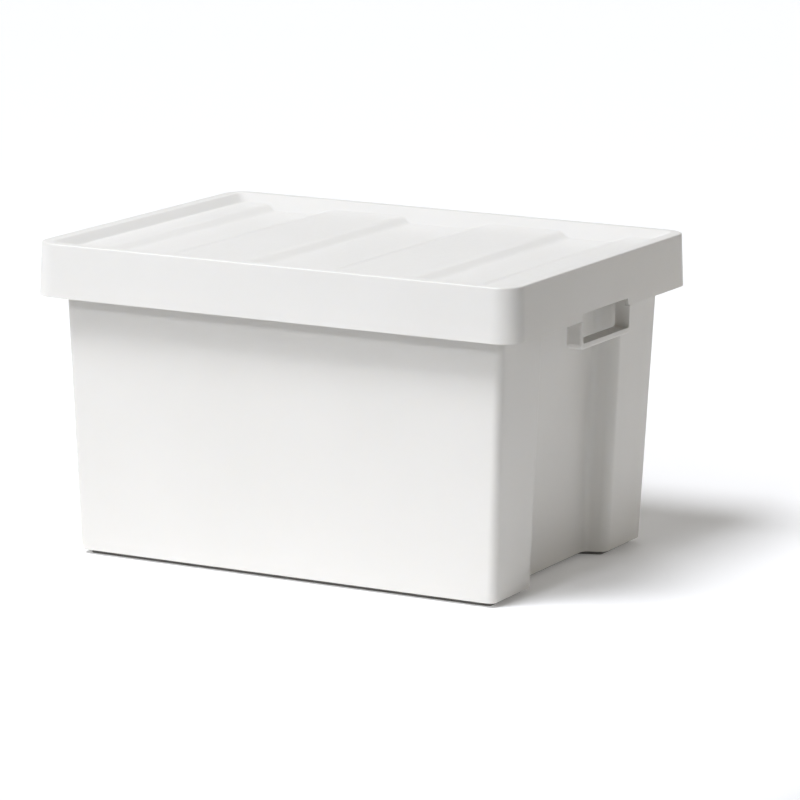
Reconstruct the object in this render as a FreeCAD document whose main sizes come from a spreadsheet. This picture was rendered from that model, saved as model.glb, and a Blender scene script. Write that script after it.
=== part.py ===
import FreeCAD, Part
import Sketcher
import math
import os

# Stacking storage crate: a drafted plastic tub with a handle at each end, and a lid that lifts off.
#
# Millimetres. +X runs along the long side, +Y across and +Z up. The origin is on the floor, under
# the middle of the crate. Both mouldings are symmetric about X = 0 and about Y = 0, so their sizes
# are half sizes counted from the middle, and their levels are heights above the floor.
#
# The sheet "Dims" holds the driving dimensions, and each sketch and feature is bound to it. A
# length in this file is written as a sum of names from the sheet, such as "wall_top_x - wall".

DIMENSIONS = [
    # the tub's wall: a drafted box whose two ends are set back in the middle
    ("wall_base_x", 222.6, "outer half length at the bottom of the wall"),
    ("wall_base_y", 160.4, "outer half width at the bottom of the wall"),
    ("wall_top_x", 233.1, "outer half length at the rim"),
    ("wall_top_y", 171.1, "outer half width at the rim"),
    ("wall", 2.5, "thickness of the tub's walls"),
    ("floor_z", 6.7, "level of the floor inside the tub"),
    ("wall_corner", 8.0, "outer radius of the tub's upright corners"),
    ("floor_blend", 4.0, "inner radius between floor and wall"),
    ("base_blend", 1.4, "outer radius under the wall"),
    ("recess_depth", 21.0, "how far the end panel is set back"),
    ("recess_edge_y", 81.5, "half width of the recess at its mouth"),
    ("recess_panel_y", 73.5, "half width of the recess at its panel"),
    ("recess_edge_blend", 11.0, "outer radius at the recess's mouth"),
    ("recess_panel_blend", 9.0, "outer radius at the recess's panel"),
    ("recess_shift", 1.7, "how much wider the recess is on the wall's inner side"),
    # the foot: a low ring under the floor that follows the wall
    ("foot_height", 4.2, "height of the foot, and level of the wall's lower edge"),
    ("foot_inset", 8.0, "how far the foot is set back from the wall's lower edge"),
    ("foot_shift", 5.4, "how much wider the recess is along the foot's outer side"),
    ("foot_width", 5.0, "width of the ring"),
    ("foot_width_shift", 3.4, "the same widening across the ring"),
    ("foot_corner", 4.0, "radius of the foot's corners"),
    # the rim: a flange round the tub's mouth with a turned-down lip, under the lid
    ("rim_z", 290.5, "top of the rim"),
    ("rim_x", 250.8, "outer half length of the rim"),
    ("rim_y", 189.3, "outer half width of the rim"),
    ("rim_corner", 21.5, "outer radius of the rim's corners"),
    ("flange", 2.5, "thickness of the flange"),
    ("lip", 2.2, "thickness of the lip"),
    ("lip_depth", 24.0, "depth of the lip below the top of the rim"),
    # the handle at each end: a collar that hangs from the rim round a hand hole
    ("collar_back_x", 241.3, "inner face of the collar"),
    ("collar_step_x", 252.0, "outer face of the part of the collar that is behind the skirt"),
    ("collar_face_x", 256.3, "outer face of the collar, a little outside the lid's skirt"),
    ("collar_half", 54.2, "half width of the collar"),
    ("collar_low_z", 227.0, "bottom of the collar"),
    ("collar_face_top_z", 253.0, "top of the collar's face, just under the skirt"),
    ("collar_corner", 6.0, "outer radius of the collar's lower corners"),
    ("collar_blend", 1.8, "radius round the collar's edges"),
    ("hand_half", 50.2, "half width of the hand hole"),
    ("hand_low_z", 232.5, "bottom of the hand hole"),
    ("hand_top_z", 260.5, "top of the hand hole, and of the notch in the lid's skirt"),
    ("hand_corner", 3.2, "radius of the hand hole's corners"),
    ("grip", 3.0, "thickness of the grip above the hand hole"),
    # the lid: a skirt round a shallow tray, with shallow channels across it
    ("skirt_z", 253.3, "level of the skirt's lower edge"),
    ("skirt_x", 255.0, "outer half length of the skirt at its lower edge"),
    ("skirt_y", 193.5, "outer half width of the skirt at its lower edge"),
    ("skirt_corner", 23.0, "outer radius of the skirt's corners at its lower edge"),
    ("skirt_draft", 1.8, "how far the skirt leans in over its height"),
    ("skirt_wall", 2.3, "thickness of the skirt"),
    ("lid_z", 304.5, "top of the lid"),
    ("lid_wall", 2.5, "thickness of the lid's top, measured upright"),
    ("rim_blend", 1.6, "radius along the lid's top edge"),
    ("tray_x", 241.3, "half length of the tray at its mouth"),
    ("tray_y", 179.8, "half width of the tray at its mouth"),
    ("tray_corner", 20.0, "radius across the folds at the tray's corners"),
    ("band_z", 297.7, "level of the raised bands"),
    ("band_run", 13.6, "how far the tray's border runs in, down to the bands"),
    ("channel_z", 292.7, "level of the channels between the bands"),
    ("channel_run", 10.0, "how much further the border runs in, down to the channels"),
    ("channel_slope", 14.0, "width of the slope from a band down to a channel"),
    ("middle_channel", 33.5, "half width of the middle channel's floor"),
    ("side_channel_in", 141.0, "inner edge of a side channel's floor"),
    ("side_channel_out", 186.5, "outer edge of a side channel's floor"),
    ("mouth_blend", 8.0, "radius where the lid's flat edge meets the tray's border"),
    ("border_blend", 8.0, "radius along the foot of the border"),
    ("band_blend", 24.0, "radius where a slope meets a band or a channel"),
    ("seat_x", 242.0, "outer half length of the rib that the lid rests on"),
    ("seat_y", 180.5, "outer half width of that rib"),
    ("seat_corner", 12.0, "outer radius of the rib's corners"),
    ("seat_wall", 2.0, "thickness of the rib"),
    ("seat_gap", 0.2, "clearance between the rib and the tub's rim"),
    ("seat_top", 1.7, "how far the rib's root is below the top of the lid"),
]

doc = FreeCAD.newDocument("stacking_crate")
sheet = doc.addObject("Spreadsheet::Sheet", "Dims")
for row, (alias, size, meaning) in enumerate(DIMENSIONS, start=1):
    sheet.set("A%d" % row, meaning)
    sheet.set("B%d" % row, str(size))
    sheet.setAlias("B%d" % row, alias)
doc.recompute()


# ---- lengths ---------------------------------------------------------------------------------


def number(terms):
    """What a sum of names from the sheet, such as "wall_top_x - wall", comes to."""
    total, sign = 0.0, 1
    for word in terms.split():
        if word in ("+", "-"):
            sign = 1 if word == "+" else -1
        else:
            total += sign * getattr(sheet, word)
    return total


def bound(terms, sign=1):
    """The same sum as an expression that follows the sheet."""
    words = [word if word in ("+", "-") else "Dims." + word for word in terms.split()]
    return "%d * (%s)" % (sign, " ".join(words))


# ---- sketches --------------------------------------------------------------------------------


def origin_plane(body, role):
    return next(part for part in body.Origin.OriginFeatures if part.Role == role)


def new_sketch(body, name, plane, offset="", sign=1):
    """An empty sketch on one of the body's origin planes, moved along its normal by an offset."""
    sketch = body.newObject("Sketcher::SketchObject", name)
    sketch.AttachmentSupport = [(origin_plane(body, plane), "")]
    sketch.MapMode = "FlatFace"
    if offset:
        sketch.setExpression("AttachmentOffset.Base.z", bound(offset, sign))
    return sketch


def place(sketch, kind, edge, point, sign, terms):
    """Fixes one coordinate of a point at sign times a length from the sketch's origin."""
    ends = (-1, 1, edge, point) if sign > 0 else (edge, point, -1, 1)
    index = sketch.addConstraint(Sketcher.Constraint(kind, *ends, number(terms)))
    sketch.setExpression("Constraints[%d]" % index, bound(terms))


def polygon(sketch, corners):
    """A closed outline of straight edges. A corner is (sign, length, sign, length)."""
    points = [
        FreeCAD.Vector(sx * number(x), sy * number(y), 0) for sx, x, sy, y in corners
    ]
    first = sketch.GeometryCount
    count = len(corners)
    for i in range(count):
        sketch.addGeometry(Part.LineSegment(points[i], points[(i + 1) % count]), False)
    for i in range(count):
        after = first + (i + 1) % count
        sketch.addConstraint(Sketcher.Constraint("Coincident", first + i, 2, after, 1))
    for i, (sx, x, sy, y) in enumerate(corners):
        place(sketch, "DistanceX", first + i, 1, sx, x)
        place(sketch, "DistanceY", first + i, 1, sy, y)


def rounded_rectangle(sketch, left, right, low, high, corner):
    """A rectangle with equal round corners. Each side is a (sign, length) from the origin."""
    x0, x1, y0, y1 = [sign * number(terms) for sign, terms in (left, right, low, high)]
    r = number(corner)
    quarter = math.pi / 2
    first = sketch.GeometryCount
    sides = [
        ((x0 + r, y0), (x1 - r, y0)),
        ((x1, y0 + r), (x1, y1 - r)),
        ((x1 - r, y1), (x0 + r, y1)),
        ((x0, y1 - r), (x0, y0 + r)),
    ]
    centres = [(x1 - r, y0 + r), (x1 - r, y1 - r), (x0 + r, y1 - r), (x0 + r, y0 + r)]
    for i in range(4):
        start, end = [FreeCAD.Vector(*point, 0) for point in sides[i]]
        sketch.addGeometry(Part.LineSegment(start, end), False)
        circle = Part.Circle(FreeCAD.Vector(*centres[i], 0), FreeCAD.Vector(0, 0, 1), r)
        arc = Part.ArcOfCircle(circle, (i - 1) * quarter, i * quarter)
        sketch.addGeometry(arc, False)
    for i in range(4):
        line, arc = first + 2 * i, first + 2 * i + 1
        following = first + (2 * i + 2) % 8
        straight = "Horizontal" if i % 2 == 0 else "Vertical"
        sketch.addConstraint(Sketcher.Constraint("Tangent", line, 2, arc, 1))
        sketch.addConstraint(Sketcher.Constraint("Tangent", arc, 2, following, 1))
        sketch.addConstraint(Sketcher.Constraint(straight, line))
        if i:
            sketch.addConstraint(Sketcher.Constraint("Equal", first + 1, arc))
    index = sketch.addConstraint(Sketcher.Constraint("Radius", first + 1, r))
    sketch.setExpression("Constraints[%d]" % index, bound(corner))
    place(sketch, "DistanceY", first, 1, *low)
    place(sketch, "DistanceX", first + 2, 1, *right)
    place(sketch, "DistanceY", first + 4, 1, *high)
    place(sketch, "DistanceX", first + 6, 1, *left)


def centred_rectangle(sketch, half_x, half_y, corner):
    """A rounded rectangle round the sketch's origin."""
    rounded_rectangle(
        sketch, (-1, half_x), (1, half_x), (-1, half_y), (1, half_y), corner
    )


def wall_outline(sketch, half_x, half_y, edge_y, panel_y):
    """The tub's outline: a rectangle whose two ends are set back between the recess's edges."""
    panel_x = half_x + " - recess_depth"
    corners = []
    for side in (1, -1):
        corners += [
            (side, half_x, -side, half_y),
            (side, half_x, -side, edge_y),
            (side, panel_x, -side, panel_y),
            (side, panel_x, side, panel_y),
            (side, half_x, side, edge_y),
            (side, half_x, side, half_y),
        ]
    polygon(sketch, corners)


def recess_outline(sketch, side, half_x, edge_y, panel_y):
    """A recess at one end, seen from above: its two sides run on past the wall's face."""
    panel_x, outer_x = half_x + " - recess_depth", half_x + " + recess_depth"
    outer_y = edge_y + " + recess_edge_y - recess_panel_y"
    corners = [
        (side, panel_x, -side, panel_y),
        (side, outer_x, -side, outer_y),
        (side, outer_x, side, outer_y),
        (side, panel_x, side, panel_y),
    ]
    polygon(sketch, corners)


# ---- features --------------------------------------------------------------------------------


def new_body(name):
    return doc.addObject("PartDesign::Body", name)


def wedge(body, kind, name, low_z, high_z, low, high):
    """A drafted box: AdditiveWedge or SubtractiveWedge. low and high are its outlines at the two
    levels, each as (left side, right side, half width) with a side as (sign, length)."""
    feature = body.newObject("PartDesign::" + kind, name)
    feature.AttachmentSupport = [(origin_plane(body, "XZ_Plane"), "")]
    feature.MapMode = "FlatFace"
    feature.setExpression("Ymin", bound(low_z))
    feature.setExpression("Ymax", bound(high_z))
    for digit, (left, right, half_width) in (("", low), ("2", high)):
        feature.setExpression("X%smin" % digit, bound(left[1], left[0]))
        feature.setExpression("X%smax" % digit, bound(right[1], right[0]))
        feature.setExpression("Z%smin" % digit, bound(half_width, -1))
        feature.setExpression("Z%smax" % digit, bound(half_width))
    doc.recompute()
    return feature


def centred(half_length, half_width):
    """The outline of a wedge that is symmetric about X = 0."""
    return (-1, half_length), (1, half_length), half_width


def extrude(body, kind, name, sketch, terms, reverse=False):
    """A Pad along the sketch's normal, or a Pocket against it. reverse turns either round."""
    feature = body.newObject("PartDesign::" + kind, name)
    feature.Profile = sketch
    feature.setExpression("Length", bound(terms))
    feature.Reversed = reverse
    doc.recompute()
    return feature


def blend(body, name, radius, wanted):
    """Rounds each edge of the body that wanted accepts."""
    base = body.Tip
    shape = base.Shape
    chosen = ["Edge%d" % (i + 1) for i, e in enumerate(shape.Edges) if wanted(e)]
    if not chosen:
        raise RuntimeError("no edge to round for " + name)
    feature = body.newObject("PartDesign::Fillet", name)
    feature.Base = (base, chosen)
    feature.setExpression("Radius", bound(radius))
    doc.recompute()
    return feature


def runs_along(edge, axis):
    """True for an edge that stays within about 10 degrees of an axis: 0 is X, 1 is Y and 2 is Z."""
    ends = edge.Vertexes
    if len(ends) < 2:
        return False
    return abs((ends[1].Point - ends[0].Point)[axis]) > 0.985 * edge.Length


def middle(edge):
    return edge.BoundBox.Center


def boolean(kind, name, base, tool):
    """Part::Cut of one object from another, with merged faces."""
    feature = doc.addObject("Part::" + kind, name)
    feature.Base = base
    feature.Tool = tool
    feature.Refine = True
    doc.recompute()
    return feature


def fused(name, pieces):
    feature = doc.addObject("Part::MultiFuse", name)
    feature.Shapes = pieces
    feature.Refine = True
    doc.recompute()
    return feature


# ---- the tub ---------------------------------------------------------------------------------


def wall_form(name, inset, low_z, shift, radii, bottom_blend):
    """The solid inside an outline of the wall. radii are for its corners and the recess's edges."""
    body = new_body(name)
    base_x, base_y = "wall_base_x" + inset, "wall_base_y" + inset
    top_x, top_y = "wall_top_x" + inset, "wall_top_y" + inset
    base, top = centred(base_x, base_y), centred(top_x, top_y)
    wedge(body, "AdditiveWedge", name + "_wedge", low_z, "rim_z", base, top)

    edge, panel = "recess_edge_y" + shift, "recess_panel_y" + shift
    height, draft = "rim_z - " + low_z, "wall_top_x - wall_base_x"
    for side, label in ((1, "right"), (-1, "left")):
        sketch = new_sketch(body, "%s_%s_outline" % (name, label), "XY_Plane", low_z)
        recess_outline(sketch, side, base_x, edge, panel)
        cut_name = "%s_%s_recess" % (name, label)
        cut = extrude(body, "Pocket", cut_name, sketch, height)
        cut.UseCustomVector = True
        cut.AlongSketchNormal = True
        cut.setExpression("Direction.x", bound(draft, side))
        cut.setExpression("Direction.z", bound(height))
        doc.recompute()

    edge_y, panel_y = number(edge), number(panel)
    corner, edge_radius, panel_radius = radii
    places = [
        ("corner", corner, lambda y: y > edge_y + 10),
        ("edge", edge_radius, lambda y: abs(y - edge_y) < 1),
        ("panel", panel_radius, lambda y: abs(y - panel_y) < 1),
    ]
    for place_name, radius, wanted in places:
        blend(
            body,
            "%s_%s_blend" % (name, place_name),
            radius,
            lambda e: runs_along(e, 2) and wanted(abs(middle(e).y)),
        )
    bottom = number(low_z)
    blend(
        body,
        name + "_bottom_blend",
        bottom_blend,
        lambda e: e.BoundBox.ZMax < bottom + 0.01,
    )
    return body


def make_foot():
    """A low ring that follows the wall, set in from it, with its top face against the floor."""
    body = new_body("foot")
    sketch = new_sketch(body, "foot_outline", "XY_Plane")
    inset, shift = " - foot_inset", " + foot_shift"
    for _ in range(2):
        wall_outline(
            sketch,
            "wall_base_x" + inset,
            "wall_base_y" + inset,
            "recess_edge_y" + shift,
            "recess_panel_y" + shift,
        )
        inset += " - foot_width"
        shift += " + foot_width_shift"
    extrude(body, "Pad", "foot_pad", sketch, "foot_height")
    blend(body, "foot_blend", "foot_corner", lambda e: runs_along(e, 2))
    return body


def make_rim():
    """The flange round the tub's mouth, and the lip that turns down from it."""
    body = new_body("rim")
    plate = new_sketch(body, "flange_outline", "XY_Plane", "rim_z")
    centred_rectangle(plate, "rim_x", "rim_y", "rim_corner")
    extrude(body, "Pad", "flange_pad", plate, "flange", reverse=True)
    ring = new_sketch(body, "lip_outline", "XY_Plane", "rim_z")
    centred_rectangle(ring, "rim_x", "rim_y", "rim_corner")
    centred_rectangle(ring, "rim_x - lip", "rim_y - lip", "rim_corner - lip")
    extrude(body, "Pad", "lip_pad", ring, "lip_depth", reverse=True)
    return body


def make_collar(name, side):
    """A handle at one end: a collar hung from the rim round the hand hole, with a grip above it."""
    body = new_body(name)
    flip = side < 0

    def upright(sketch_name, offset):
        return new_sketch(body, sketch_name, "YZ_Plane", offset, side)

    def block(label, offset, top, depth):
        sketch = upright(label + "_outline", offset)
        corners = [
            (-1, "collar_half", 1, "collar_low_z"),
            (1, "collar_half", 1, "collar_low_z"),
            (1, "collar_half", 1, top),
            (-1, "collar_half", 1, top),
        ]
        polygon(sketch, corners)
        extrude(body, "Pad", label + "_pad", sketch, depth, reverse=flip)

    block(name + "_hanger", "collar_back_x", "rim_z - flange", "rim_x - collar_back_x")
    block(name + "_step", "rim_x", "hand_top_z + grip", "collar_step_x - rim_x")
    block(name + "_face", "rim_x", "collar_face_top_z", "collar_face_x - rim_x")
    low, face = number("collar_low_z"), number("collar_face_x")
    blend(
        body,
        name + "_corner_blend",
        "collar_corner",
        lambda e: runs_along(e, 0) and abs(middle(e).z - low) < 0.1,
    )
    blend(
        body,
        name + "_face_blend",
        "collar_blend",
        lambda e: abs(abs(middle(e).x) - face) < 0.01
        and middle(e).z < number("collar_face_top_z") - 0.1
        and e.BoundBox.XLength < 0.01,
    )

    hole = upright(name + "_hand_hole", "collar_face_x")
    sides = ((-1, "hand_half"), (1, "hand_half"))
    rounded_rectangle(
        hole, *sides, (1, "hand_low_z"), (1, "hand_top_z"), "hand_corner"
    )
    extrude(
        body,
        "Pocket",
        name + "_hand_cut",
        hole,
        "collar_face_x - collar_back_x",
        reverse=flip,
    )
    window = upright(name + "_window", "rim_x - lip")
    bottom, top = (1, "hand_top_z + grip"), (1, "rim_z - flange - lip")
    rounded_rectangle(window, *sides, bottom, top, "hand_corner")
    extrude(
        body,
        "Pocket",
        name + "_window_cut",
        window,
        "rim_x - lip - collar_back_x",
        reverse=flip,
    )
    return body


def make_tub():
    outside = wall_form(
        "tub_outside",
        "",
        "foot_height",
        "",
        ("wall_corner", "recess_edge_blend", "recess_panel_blend"),
        "base_blend",
    )
    inside = wall_form(
        "tub_inside",
        " - wall",
        "floor_z",
        " + recess_shift",
        ("wall_corner - wall", "recess_edge_blend - wall", "recess_panel_blend + wall"),
        "floor_blend",
    )
    pieces = [outside, make_foot(), make_rim()]
    pieces += [make_collar("collar_right", 1), make_collar("collar_left", -1)]
    return boolean("Cut", "crate_tub", fused("tub_solid", pieces), inside)


# ---- the lid ---------------------------------------------------------------------------------


def lid_form(name, inset, drop):
    """The lid's outer form, or with an inset and a drop the core that hollows it out."""
    body = new_body(name)
    base = centred("skirt_x" + inset, "skirt_y" + inset)
    top = centred("skirt_x - skirt_draft" + inset, "skirt_y - skirt_draft" + inset)
    top_z = "lid_z" + drop
    wedge(body, "AdditiveWedge", name + "_skirt", "skirt_z", top_z, base, top)

    mouth = centred("tray_x", "tray_y")
    deck = centred("tray_x - band_run", "tray_y - band_run")
    deck_z = "band_z" + drop
    wedge(body, "SubtractiveWedge", name + "_tray", deck_z, top_z, deck, mouth)
    deck_level, top_level = number(deck_z), number(top_z)
    blend(
        body,
        name + "_tray_blend",
        "tray_corner",
        lambda e: abs(e.BoundBox.ZMin - deck_level) < 0.01
        and abs(e.BoundBox.ZMax - top_level) < 0.01,
    )
    corner_radius = "skirt_corner" + inset
    blend(body, name + "_corner_blend", corner_radius, lambda e: runs_along(e, 2))
    if not drop:
        tray_x, tray_y = number("tray_x"), number("tray_y")

        def is_outer(e):
            return max(abs(middle(e).x) - tray_x, abs(middle(e).y) - tray_y) > 0.5

        def is_top(e):
            return e.BoundBox.ZMin > top_level - 0.01

        blend(
            body, name + "_edge_blend", "rim_blend", lambda e: is_top(e) and is_outer(e)
        )
        blend(
            body,
            name + "_mouth_blend",
            "mouth_blend",
            lambda e: is_top(e) and not is_outer(e),
        )
    channels = (
        ("middle", (-1, "middle_channel"), (1, "middle_channel")),
        ("right", (1, "side_channel_in"), (1, "side_channel_out")),
        ("left", (-1, "side_channel_out"), (-1, "side_channel_in")),
    )
    for label, left, right in channels:
        cut_channel(body, "%s_%s" % (name, label), left, right, drop)
    if not drop:
        levels = (number("band_z"), number("channel_z"))
        blend(
            body,
            name + "_band_blend",
            "band_blend",
            lambda e: runs_along(e, 1)
            and min(abs(middle(e).z - level) for level in levels) < 0.01
            and abs(middle(e).x) < number("side_channel_out + channel_slope") + 1,
        )
        deck_x = number("tray_x - band_run")
        floor_y = number("tray_y - band_run - channel_run")
        blend(
            body,
            name + "_border_blend",
            "border_blend",
            lambda e: levels[1] - 1 < e.BoundBox.ZMin
            and e.BoundBox.ZMax < levels[0] + 0.01
            and (abs(middle(e).x) > deck_x - 0.1 or abs(middle(e).y) > floor_y - 1),
        )
    return body


def widened(side, outward):
    """A channel's side moved out by the width of its slope. outward is -1 or 1 along X."""
    sign, terms = side
    return sign, terms + (" + " if sign == outward else " - ") + "channel_slope"


def cut_channel(body, name, left, right, drop):
    """A shallow channel across the lid whose two ends carry the tray's border down."""
    reach = "tray_y - band_run"
    floor = (left, right, reach + " - channel_run")
    top = (widened(left, -1), widened(right, 1), reach)
    levels = ("channel_z" + drop, "band_z" + drop)
    wedge(body, "SubtractiveWedge", name + "_channel", *levels, floor, top)


def make_seat():
    """The rib under the lid's border that stands on the tub's rim."""
    body = new_body("seat")
    ring = new_sketch(body, "seat_outline", "XY_Plane", "rim_z + seat_gap")
    centred_rectangle(ring, "seat_x", "seat_y", "seat_corner")
    centred_rectangle(
        ring, "seat_x - seat_wall", "seat_y - seat_wall", "seat_corner - seat_wall"
    )
    extrude(body, "Pad", "seat_pad", ring, "lid_z - seat_top - rim_z - seat_gap")
    return body


def make_notches():
    """A bar through both end skirts, which leaves the notches over the hand holes."""
    body = new_body("notches")
    sketch = new_sketch(body, "notch_outline", "YZ_Plane", "skirt_x", -1)
    sides = ((-1, "hand_half"), (1, "hand_half"))
    rounded_rectangle(
        sketch, *sides, (1, "hand_low_z"), (1, "hand_top_z"), "hand_corner"
    )
    extrude(body, "Pad", "notch_pad", sketch, "skirt_x + skirt_x")
    return body


def make_lid():
    outside = lid_form("lid_outside", "", "")
    core = lid_form("lid_core", " - skirt_wall", " - lid_wall")
    shell = boolean("Cut", "lid_shell", outside, core)
    return boolean(
        "Cut", "lid", fused("lid_solid", [shell, make_seat()]), make_notches()
    )


# ---- build, check and write ------------------------------------------------------------------


def check_cuts():
    """Every pocket and subtractive wedge has to take material away."""
    for feature in doc.Objects:
        if feature.TypeId not in ("PartDesign::Pocket", "PartDesign::SubtractiveWedge"):
            continue
        before = feature.BaseFeature.Shape.Volume
        if feature.Shape.Volume > before - 1:
            raise RuntimeError(feature.Name + " cuts nothing")


def check_states():
    for item in doc.Objects:
        if "Invalid" in item.State or "Error" in item.State:
            raise RuntimeError("%s failed: %s" % (item.Name, item.State))


def write_node(node):
    shape = node.Shape
    if shape.isNull() or not shape.isValid() or len(shape.Solids) != 1:
        raise RuntimeError(node.Label + " isn't one valid solid")
    shape.exportStep("parts/%s.step" % node.Label)
    print(node.Label, "volume %.1f cm3" % (shape.Volume / 1000), shape.BoundBox)


nodes = [make_tub(), make_lid()]
for node, label in zip(nodes, ("crate_tub", "lid")):
    node.Label = label
    node.Placement = FreeCAD.Placement()
doc.recompute()
check_states()
check_cuts()
os.makedirs("parts", exist_ok=True)
for node in nodes:
    write_node(node)
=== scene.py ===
import math

import bpy
from mathutils import Matrix, Vector


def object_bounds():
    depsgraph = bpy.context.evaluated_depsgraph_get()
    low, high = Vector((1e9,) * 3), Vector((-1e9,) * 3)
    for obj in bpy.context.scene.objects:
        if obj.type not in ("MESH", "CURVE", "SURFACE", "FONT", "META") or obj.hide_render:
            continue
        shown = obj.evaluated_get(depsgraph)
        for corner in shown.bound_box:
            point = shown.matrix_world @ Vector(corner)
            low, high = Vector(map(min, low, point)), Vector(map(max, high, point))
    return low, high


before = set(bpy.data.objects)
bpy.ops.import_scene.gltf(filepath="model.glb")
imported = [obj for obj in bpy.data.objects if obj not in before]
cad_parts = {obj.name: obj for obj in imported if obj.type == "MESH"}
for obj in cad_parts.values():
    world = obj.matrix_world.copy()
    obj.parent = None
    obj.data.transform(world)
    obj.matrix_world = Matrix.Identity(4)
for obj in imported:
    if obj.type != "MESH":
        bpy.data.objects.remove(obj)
cad_low, cad_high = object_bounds()

# ---- camera ----------------------------------------------------------------------------------

CAMERA_AT = Vector((1.9929, -3.7208, 0.9903))
CAMERA_YAW = math.radians(27.70)  # turned left from looking along +Y
CAMERA_PITCH = math.radians(11.32)  # looking down
CAMERA_ROLL = math.radians(0.59)
SENSOR = 36.0
LENS = 201.2


def make_camera():
    data = bpy.data.cameras.new("camera")
    data.sensor_width = SENSOR
    data.lens = LENS
    data.clip_end = 100.0
    camera = bpy.data.objects.new("camera", data)
    bpy.context.scene.collection.objects.link(camera)
    level = math.cos(CAMERA_PITCH)
    forward = Vector(
        (
            -math.sin(CAMERA_YAW) * level,
            math.cos(CAMERA_YAW) * level,
            -math.sin(CAMERA_PITCH),
        )
    )
    right = Vector((math.cos(CAMERA_YAW), math.sin(CAMERA_YAW), 0))
    up = right.cross(forward)
    turned_right = right * math.cos(CAMERA_ROLL) + up * math.sin(CAMERA_ROLL)
    turned_up = up * math.cos(CAMERA_ROLL) - right * math.sin(CAMERA_ROLL)
    turn = Matrix((turned_right, turned_up, -forward)).transposed()
    camera.matrix_world = Matrix.Translation(CAMERA_AT) @ turn.to_4x4()
    bpy.context.scene.camera = camera


make_camera()

# ---- plastic ---------------------------------------------------------------------------------


class Shader:
    """A material with its principled shader, and short ways to add and link nodes."""

    def __init__(self, name):
        self.material = bpy.data.materials.new(name)
        self.material.use_nodes = True
        self.tree = self.material.node_tree
        self.surface = self.tree.nodes["Principled BSDF"]

    def add(self, kind, **settings):
        node = self.tree.nodes.new("ShaderNode" + kind)
        for key, value in settings.items():
            setattr(node, key, value)
        return node

    def link(self, source, target):
        self.tree.links.new(source, target)

    def noise(self, place, scale, detail=2.0, roughness=0.5):
        """Noise between 0 and 1 over the object's own coordinates; scale is in waves a metre."""
        node = self.add("TexNoise")
        node.inputs["Scale"].default_value = scale
        node.inputs["Detail"].default_value = detail
        node.inputs["Roughness"].default_value = roughness
        self.link(place, node.inputs["Vector"])
        return node.outputs["Fac"]

    def remap(self, value, before, after, **settings):
        """Maps the range before, as (from, to), onto the range after."""
        node = self.add("MapRange", **settings)
        node.inputs["From Min"].default_value, node.inputs["From Max"].default_value = before
        node.inputs["To Min"].default_value, node.inputs["To Max"].default_value = after
        self.link(value, node.inputs["Value"])
        return node.outputs["Result"]

    def spread(self, noise, low, high):
        """Maps the middle of a noise onto low to high."""
        return self.remap(noise, (0.3, 0.7), (low, high))

    def mix(self, factor, start, end):
        """Colours from start to end, each either a colour or an output."""
        node = self.add("Mix", data_type="RGBA")
        for slot, tone in (("A", start), ("B", end)):
            if isinstance(tone, tuple):
                node.inputs[slot].default_value = (*tone, 1)
            else:
                self.link(tone, node.inputs[slot])
        self.link(factor, node.inputs["Factor"])
        return node.outputs["Result"]

    def multiply(self, value, other):
        """The product of an output and another output or a number."""
        node = self.add("Math", operation="MULTIPLY")
        self.link(value, node.inputs[0])
        if isinstance(other, float):
            node.inputs[1].default_value = other
        else:
            self.link(other, node.inputs[1])
        return node.outputs["Value"]

    def along(self, place, axis):
        """One coordinate of a place."""
        node = self.add("SeparateXYZ")
        self.link(place, node.inputs["Vector"])
        return node.outputs[axis]

    def bump(self, height, distance, before=None):
        """A bump of a height in metres, on top of the one before it."""
        node = self.add("Bump")
        node.inputs["Strength"].default_value = 1.0
        node.inputs["Distance"].default_value = distance
        self.link(height, node.inputs["Height"])
        if before is not None:
            self.link(before, node.inputs["Normal"])
        return node.outputs["Normal"]


SINK_WAVES = 7.0  # soft hollows that cooling leaves in a broad wall, in waves a metre
SINK_HEIGHT = 0.0010
GRAIN_WAVES = 1300.0  # the mould's fine satin grain
GRAIN_HEIGHT = 0.00004
CLOUD_WAVES = 5.0  # slow changes of tone
SPECK_WAVES = 240.0  # small scuffs that are a little duller or glossier
FOOT_HEIGHT = 0.0042  # below this there is only the foot ring, painted dark grey as the shade in the gap under the wall
FOOT_FADE = 0.8  # the painted shade is full below this part of the foot's height
FOOT_PAINTED_SHADE = (0.14, 0.135, 0.125)
SATIN = (0.32, 0.40)  # roughness, from glossier to duller
POLYPROPYLENE_IOR = 1.49
SCATTER_WEIGHT = 0.15  # how much of the light travels inside the plastic
SCATTER_REACH = 0.004  # how far it travels
SCATTER_TINT = (1.0, 0.85, 0.65)


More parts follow.
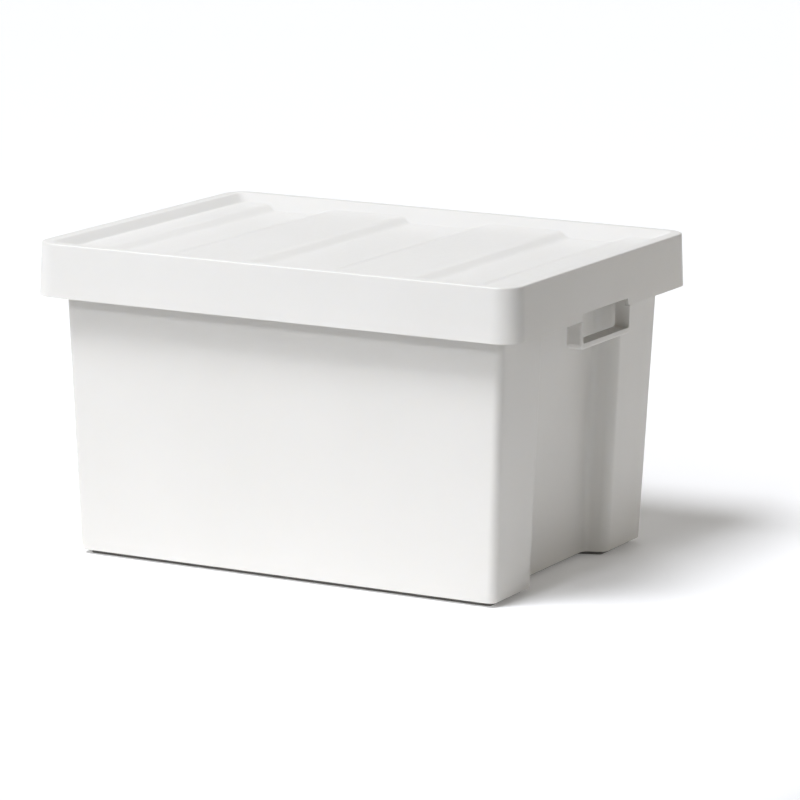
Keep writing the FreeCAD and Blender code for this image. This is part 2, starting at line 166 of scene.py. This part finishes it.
def polypropylene(name, pale, deep):
    """Satin moulded polypropylene: a warm white that lets a little light through."""
    shader = Shader(name)
    surface = shader.surface
    place = shader.add("TexCoord").outputs["Object"]

    clouds = shader.noise(place, CLOUD_WAVES, 3.0)
    clean = shader.mix(shader.spread(clouds, 0.0, 1.0), deep, pale)
    foot_band = (FOOT_FADE * FOOT_HEIGHT, FOOT_HEIGHT)
    # painted shade: the foot ring under the wall is coloured dark grey where shade falls in the
    # gap
    shade_at_foot = shader.remap(shader.along(place, "Z"), foot_band, (1.0, 0.0))
    shader.link(shader.mix(shade_at_foot, clean, FOOT_PAINTED_SHADE), surface.inputs["Base Color"])

    specks = shader.noise(place, SPECK_WAVES, 4.0, 0.65)
    shader.link(shader.spread(specks, *SATIN), surface.inputs["Roughness"])

    sinks = shader.bump(shader.noise(place, SINK_WAVES, 1.0), SINK_HEIGHT)
    grain = shader.bump(
        shader.noise(place, GRAIN_WAVES, 2.0, 0.6), GRAIN_HEIGHT, sinks
    )
    shader.link(grain, surface.inputs["Normal"])

    surface.inputs["IOR"].default_value = POLYPROPYLENE_IOR
    surface.inputs["Subsurface Weight"].default_value = SCATTER_WEIGHT
    surface.inputs["Subsurface Radius"].default_value = SCATTER_TINT
    surface.inputs["Subsurface Scale"].default_value = SCATTER_REACH
    return shader.material


PLASTIC = {
    "crate_tub": ((0.710, 0.696, 0.664), (0.690, 0.676, 0.642)),
    "lid": ((0.746, 0.734, 0.704), (0.728, 0.716, 0.684)),
}

for node, (pale, deep) in PLASTIC.items():
    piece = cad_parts[node]
    piece.data.materials.clear()
    piece.data.materials.append(polypropylene(node + "_plastic", pale, deep))

# ---- floor and light -------------------------------------------------------------------------

FLOOR_REACH = 40.0
PAPER_TONE = 0.98
PAPER_ROUGHNESS = 0.9
PAPER_PAINTED_GLOW = 0.09  # painted glow: the paper itself gives off light, which fills the shadows and the walls' lower parts
GROUND_TONE = 0.20
PAPER_EDGE = (0.60, -0.80)  # where the white paper starts to fade, to the right and in front
PAPER_FADE = 0.40


def make_floor():
    """White paper under and behind the crate, which fades into a greyer floor."""
    mesh = bpy.data.meshes.new("floor")
    corners = [(-1, -1), (1, -1), (1, 1), (-1, 1)]
    mesh.from_pydata(
        [(FLOOR_REACH * x, FLOOR_REACH * y, cad_low.z) for x, y in corners],
        [],
        [(0, 1, 2, 3)],
    )
    floor = bpy.data.objects.new("floor", mesh)
    bpy.context.scene.collection.objects.link(floor)

    shader = Shader("floor_paper")
    place = shader.add("TexCoord").outputs["Object"]
    fades = []
    for axis, edge in zip("XY", PAPER_EDGE):
        band = (edge, edge + math.copysign(PAPER_FADE, edge))
        fade = shader.remap(
            shader.along(place, axis), band, (1.0, 0.0), interpolation_type="SMOOTHSTEP"
        )
        fades.append(fade)
    whiteness = shader.multiply(*fades)
    tone = shader.mix(whiteness, (GROUND_TONE,) * 3, (PAPER_TONE,) * 3)
    shader.link(tone, shader.surface.inputs["Base Color"])
    # painted glow: the white paper emits light itself, though there is no lamp under it
    shader.surface.inputs["Emission Color"].default_value = (1, 1, 1, 1)
    painted_glow = shader.multiply(whiteness, PAPER_PAINTED_GLOW)
    shader.link(painted_glow, shader.surface.inputs["Emission Strength"])
    shader.surface.inputs["Roughness"].default_value = PAPER_ROUGHNESS
    shader.surface.inputs["Specular IOR Level"].default_value = 0.0
    mesh.materials.append(shader.material)


def softbox(name, bearing, height, width, strength, colour):
    """A far, even light. The bearing is in degrees from -Y towards +X, the height is above the
    floor, and the width is how large the light looks from the crate. At a strength of 1 it lights
    a white surface that faces it to exactly white."""
    data = bpy.data.lights.new(name, "SUN")
    data.angle = math.radians(width)
    data.energy = math.pi * strength
    data.color = colour
    light = bpy.data.objects.new(name, data)
    turn, lift = math.radians(bearing), math.radians(height)
    towards = Vector(
        (
            math.sin(turn) * math.cos(lift),
            -math.cos(turn) * math.cos(lift),
            math.sin(lift),
        )
    )
    light.rotation_mode = "QUATERNION"
    light.rotation_quaternion = towards.to_track_quat("Z", "Y")
    bpy.context.scene.collection.objects.link(light)


def reflector(name, at, target, size, power, colour):
    """A near, square light that lights the parts close to it more."""
    data = bpy.data.lights.new(name, "AREA")
    data.shape = "SQUARE"
    data.size = size
    data.energy = power
    data.color = colour
    light = bpy.data.objects.new(name, data)
    light.location = at
    light.rotation_mode = "QUATERNION"
    light.rotation_quaternion = (Vector(target) - Vector(at)).to_track_quat("-Z", "Y")
    bpy.context.scene.collection.objects.link(light)


def make_room(strength, colour):
    """The pale room around the crate, which fills the shadows."""
    world = bpy.data.worlds.new("studio")
    world.use_nodes = True
    background = world.node_tree.nodes["Background"]
    background.inputs["Color"].default_value = (*colour, 1)
    background.inputs["Strength"].default_value = strength
    bpy.context.scene.world = world


COOL = (0.932, 0.950, 1.0)
NEUTRAL = (1.0, 1.0, 1.0)
CREAM = (1.0, 0.96, 0.91)
WARM = (1.0, 0.93, 0.84)
ROOM_TINT = (1.0, 0.97, 0.92)

make_floor()
softbox("overhead", -24, 61, 22, 0.71, COOL)
softbox("front", -4, 28, 9, 0.25, COOL)
softbox("back", -150, 32, 40, 0.16, NEUTRAL)
softbox("side", 65, 10, 40, 0.055, CREAM)
reflector("left", (-0.85, -1.15, 1.6), (0.0, 0.0, 0.2), 0.8, 10.6, COOL)
reflector("right", (0.8, 0.9, 0.35), (0.25, 0.05, 0.1), 0.6, 0.95, WARM)
make_room(0.13, ROOM_TINT)
bpy.context.scene.view_settings.view_transform = "Standard"
